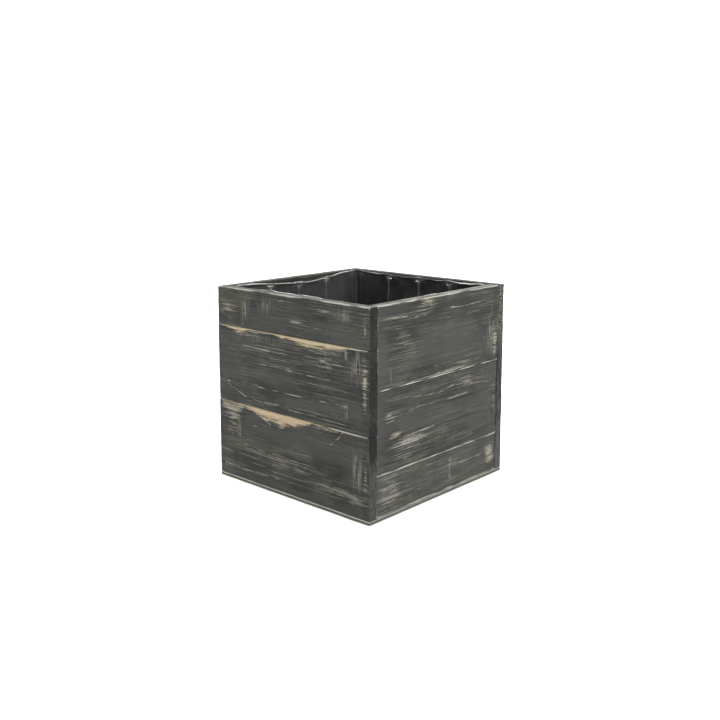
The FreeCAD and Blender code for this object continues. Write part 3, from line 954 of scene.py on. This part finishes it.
def make_liner(material):
    """The film, pressed into the box. It hangs from its staples, and its edge dips and leans between them."""
    low, high = (np.array(corner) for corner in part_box("liner"))
    size = high - low
    middles = {wall: staple_middles(wall)[0] for wall in WALLS}
    staple_level = staple_middles("front")[1] - low[2]
    surface, corners, counts = film_lattice(size, middles)

    radius = FILM_RADIUS * (1 + 0.3 * noise(surface, mm(25, 25, 30), 601))
    reach = radius[:, None] * (CORNER_SHARE, CORNER_SHARE, 1)
    inner = np.clip(surface, reach, size - reach)
    inner[:, 2] = np.maximum(surface[:, 2], radius)
    out = (surface - inner) / reach
    out /= np.linalg.norm(out, axis=1)[:, None]
    shaped = inner + out * reach

    # Distance round the box, from the front left corner
    x, y, z = surface.T
    across, deep = size[0], size[1]
    perimeter = 2 * (across + deep)
    starts = {"front": 0, "right": across, "back": across + deep, "left": 2 * across + deep}
    gaps = np.column_stack([y, across - x, deep - y, x])
    nearest = gaps.argmin(axis=1)
    along = np.choose(nearest, [x, across + y, 2 * across + deep - x, perimeter - y])
    lift = wall_reading(EDGE_LIFT, starts, middles, perimeter, along)
    lean = wall_reading(EDGE_LEAN, starts, middles, perimeter, along)
    staples = np.concatenate([starts[wall] + np.array(middles[wall]) for wall in WALLS])
    from_staple = np.min([np.abs(past(along, staple, perimeter)) for staple in staples], axis=0)

    wall_share = smooth(1.5 * FILM_RADIUS, 3 * FILM_RADIUS, z)
    folds, pale_creases_and_glints = film_folds(along, z, size[2], perimeter, staples, staple_level)
    loose = smooth(1 * MM, 15 * MM, from_staple + (staple_level - z).clip(0))
    billow = loose * smooth(size[2], size[2] - 30 * MM, z)
    soft = 0.7 * MM * (1 + noise(surface, mm(34, 34, 46), 603))
    crumple = 0.10 * MM * (1 + noise(surface, mm(9, 9, 15), 604))
    away = np.hypot(from_staple, 1.3 * (z - staple_level))
    pucker = smooth(1.4 * MM, 4.2 * MM, away) * smooth(14 * MM, 6 * MM, away)
    offset = (billow * (soft + crumple) + 1.15 * MM * folds + 0.8 * MM * pucker) * wall_share
    above = smooth(staple_level - 0.5 * MM, size[2], z)
    offset += above * lean * (1 + 0.25 * noise(surface, mm(7, 7, 9), 605))
    floor_folds = np.abs(noise(surface, mm(30, 22, ENDLESS), 606))
    offset += (1 - wall_share) * (0.32 * MM * (1 - smooth(0, 0.12, floor_folds)) + 0.5 * soft)
    turn = (z - (size[2] - HEM)).clip(0) / HEM_RADIUS
    pinned = smooth(7 * MM, 3.5 * MM, from_staple)
    # On the back wall the curl comes and goes, and it is full near the right corner
    curled = np.maximum(smooth(0.0, 0.5, noise(surface, mm(9, 9, 90), 608)),
                        smooth(across - 34 * MM, across - 24 * MM, x))
    flattened = (nearest == 2) * smooth(0, 8 * MM, np.minimum(x, across - x)) * (1 - curled)
    offset += HEM_RADIUS * (1 - np.cos(turn)) * (1 - 0.85 * pinned) * (1 - flattened)
    shaped -= out * (0.12 * MM + offset)[:, None]
    ripple = 0.35 * MM * noise(surface, mm(6, 6, 90), 607)
    rising = smooth(size[2] - 26 * MM, size[2] - HEM, z)
    shaped[:, 2] += (lift + ripple + HEM - HEM_RADIUS) * rising
    shaped[:, 2] += HEM_RADIUS * (np.sin(turn) - turn)

    mesh = mesh_of("liner", shaped + low, corners, counts)
    add_attribute(mesh, "grain", surface / MM)
    # A little pale dust on the front and right walls. On the left wall a painted sheen, where the film
    # catches the light, fades out in the last 20 mm before the back corner.
    dust_and_sheen = np.choose(nearest, [0.1, 0.1, 0.0, 0.45 * smooth(deep - 3 * MM, deep - 20 * MM, y)]) * wall_share
    gaps.sort(axis=1)
    in_corner = smooth(9 * MM, 4 * MM, gaps[:, 1])
    # Painted highlight: the curled hem is painted pale where it catches the light, near the back wall's
    # corner with the right wall and along the left wall
    glinting = np.choose(nearest, [0.0, 0.0, 0.6 * smooth(across - 34 * MM, across - 24 * MM, x), 0.30])
    pale_creases_and_glints = np.maximum(0.8 * pale_creases_and_glints, glinting * smooth(0.5, 1.2, turn) * smooth(0, 6 * MM, gaps[:, 1]))
    add_attribute(mesh, "marks", np.column_stack([pale_creases_and_glints, dust_and_sheen, in_corner]))
    film = add_piece("film_liner", mesh, material, "black_film", "liner")
    solidify = film.modifiers.new("thickness", "SOLIDIFY")
    solidify.thickness = FILM_THICKNESS
    solidify.offset = -1
    return film


# --------------------------------------------------------------- staples ----

STAPLE_WIDTH = 10 * MM
WIRE_WIDTH, WIRE_THICKNESS = 1.2 * MM, 0.6 * MM
WIRE_ROUNDING = 0.27 * MM
STAPLE_BEND = 0.75 * MM
STAPLE_LEAN = math.radians(20)  # how far the wire's face turns up


def wire_section():
    """The rounded outline of the flat wire, its face turned up a little: places into the box and up."""
    outline = []
    for corner, (side_t, side_w) in enumerate(((1, 1), (-1, 1), (-1, -1), (1, -1))):
        for turn in (0, 45, 90):
            angle = math.radians(90 * corner + turn)
            outline.append((
                side_t * (WIRE_THICKNESS / 2 - WIRE_ROUNDING) + WIRE_ROUNDING * math.cos(angle),
                side_w * (WIRE_WIDTH / 2 - WIRE_ROUNDING) + WIRE_ROUNDING * math.sin(angle),
            ))
    cosine, sine = math.cos(STAPLE_LEAN), math.sin(STAPLE_LEAN)
    return np.array(outline) @ np.array([[cosine, sine], [-sine, cosine]])


def staple_path(width, leg):
    """The wire's middle line and its inward side, from one leg's tip round the crown to the other's."""
    half = (width - WIRE_THICKNESS) / 2
    path, normals = [(-half, -leg)], [(-1, 0)]
    for side in (-1, 1):
        for step in range(5):
            angle = math.radians(22.5 * (4 - step if side > 0 else step))
            normal = (side * math.cos(angle), math.sin(angle))
            centre = (side * (half - STAPLE_BEND), -STAPLE_BEND)
            path.append((centre[0] + STAPLE_BEND * normal[0], centre[1] + STAPLE_BEND * normal[1]))
            normals.append(normal)
    return np.array([*path, (half, -leg)]), np.array([*normals, (1, 0)])


def make_staples(wall, material, seed):
    """A wall's staples, as bent flat wire, each driven a little askew."""
    node = f"staples_{wall}"
    low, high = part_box("liner")
    points = node_points(node)
    u_axis, w_axis = WALL_U[wall], WALL_W[wall]
    distances, level = staple_middles(wall)
    starting = np.where(u_axis > 0, low, np.where(u_axis < 0, high, 0))
    depths = points @ w_axis
    crown_top, tip = depths.max(), depths.min()
    path, normals = staple_path(STAPLE_WIDTH, crown_top - tip - WIRE_THICKNESS / 2)
    section = wire_section()
    rng = np.random.default_rng(seed)
    rings, per_ring = len(path), len(section)
    all_points, polygons = [], []
    for distance in distances:
        tilt = math.radians(rng.uniform(-3.5, 3.5))
        first = len(all_points) * rings * per_ring
        along = path[:, None, 0] + normals[:, None, 0] * section[None, :, 0]
        inward = path[:, None, 1] + normals[:, None, 1] * section[None, :, 0]
        upward = np.broadcast_to(section[None, :, 1], along.shape)
        turned_along = along * math.cos(tilt) - upward * math.sin(tilt)
        turned_up = along * math.sin(tilt) + upward * math.cos(tilt)
        placed = (
            starting + (distance + turned_along)[..., None] * u_axis + (level + turned_up)[..., None] * UP
            + (crown_top - WIRE_THICKNESS / 2 + inward)[..., None] * w_axis
        )
        all_points.append(placed.reshape(-1, 3))
        for ring in range(rings - 1):
            for side in range(per_ring):
                a, b = first + ring * per_ring + side, first + ring * per_ring + (side + 1) % per_ring
                polygons.append((a, b, b + per_ring, a + per_ring))
        polygons.append(tuple(first + side for side in reversed(range(per_ring))))
        polygons.append(tuple(first + (rings - 1) * per_ring + side for side in range(per_ring)))
    counts = np.array([len(polygon) for polygon in polygons])
    mesh = mesh_of(node, np.concatenate(all_points), np.concatenate(polygons), counts)
    return add_piece(f"{wall}_staples", mesh, material, "staple_wire", node)


# ------------------------------------------------------------ the scene ----


FLOOR_REACH = 30.0
FLOOR_GREY = 0.93
FLOOR_GLOW = 0.25  # lit a little from below, like a light table
STUDIO_GLOW = 1.15
# Each light's direction from the box, distance, size and power in watts
LIGHTS = {
    "top_light": ((-0.15, 0.15, 1), 1.5, 1.0, 14.0),
    "back_light": ((-0.64, 0.71, 0.55), 1.6, 0.9, 14.0),
    "right_light": ((1, -0.2, 0.45), 1.5, 0.8, 9.0),
}


def make_stage():
    """A plain pale floor."""
    corners = [(x * FLOOR_REACH, y * FLOOR_REACH, 0) for x, y in ((-1, -1), (1, -1), (1, 1), (-1, 1))]
    mesh = bpy.data.meshes.new("floor")
    mesh.from_pydata(corners, [], [(0, 1, 2, 3)])
    graph = Graph("floor", roughness=0.7, specular=0.0)
    graph.set("Base Color", (FLOOR_GREY,) * 3)
    graph.set("Emission Color", (1, 1, 1))
    graph.set("Emission Strength", FLOOR_GLOW)
    mesh.materials.append(graph.material)
    floor = bpy.data.objects.new("floor", mesh)
    bpy.context.scene.collection.objects.link(floor)


def area_light(name, target, direction, distance, size, power):
    """A soft square light that looks at the target."""
    lamp = bpy.data.lights.new(name, "AREA")
    lamp.energy = power
    lamp.size = size
    light = bpy.data.objects.new(name, lamp)
    bpy.context.scene.collection.objects.link(light)
    away = Vector(direction).normalized()
    light.location = target + away * distance
    light.rotation_euler = away.to_track_quat("Z", "Y").to_euler()


def make_lights(centre):
    world = bpy.data.worlds.new("studio")
    world.use_nodes = True
    background = world.node_tree.nodes["Background"]
    background.inputs["Color"].default_value = (1, 1, 1, 1)
    background.inputs["Strength"].default_value = STUDIO_GLOW
    bpy.context.scene.world = world
    for name, setting in LIGHTS.items():
        area_light(name, centre, *setting)


CAMERA_AZIMUTH = 42.366  # round from the front to the right, in degrees
CAMERA_TURN = 0.109  # how much further round it looks
CAMERA_DROP = 8.932  # how far below the horizon it looks
CAMERA_DISTANCE = 0.7156
CAMERA_HEIGHT = 0.2503
CAMERA_LENS = 46.57
CAMERA_SHIFT = -0.0806


def make_camera():
    camera_data = bpy.data.cameras.new("camera")
    camera_data.lens = CAMERA_LENS
    camera_data.shift_y = CAMERA_SHIFT
    camera = bpy.data.objects.new("camera", camera_data)
    bpy.context.scene.collection.objects.link(camera)
    around = math.radians(CAMERA_AZIMUTH)
    camera.location = (CAMERA_DISTANCE * math.sin(around), -CAMERA_DISTANCE * math.cos(around), CAMERA_HEIGHT)
    camera.rotation_euler = (math.radians(90 - CAMERA_DROP), 0, math.radians(CAMERA_AZIMUTH + CAMERA_TURN))
    bpy.context.scene.camera = camera


wood = stained_wood()
for wall_number, wall in enumerate(WALLS):
    for row_number, row in enumerate(ROWS):
        make_board(wall, row, wood, 1000 * wall_number + 100 * row_number + 11)
make_base(plywood())
make_liner(black_film())
staple_wire = steel("staple_wire", (0.78, 0.79, 0.80), 0.28)
for wall_number, wall in enumerate(WALLS):
    make_staples(wall, staple_wire, 900 + wall_number)
brad_steel = steel("brad_steel", (0.085, 0.083, 0.078), 0.55)
for name, cad_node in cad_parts.items():
    if "brads" in name:
        for material_slot in cad_node.material_slots:
            material_slot.material = brad_steel

low_corner, high_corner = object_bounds()
make_stage()
make_lights((low_corner + high_corner) / 2)
make_camera()
bpy.context.scene.view_settings.view_transform = "Standard"
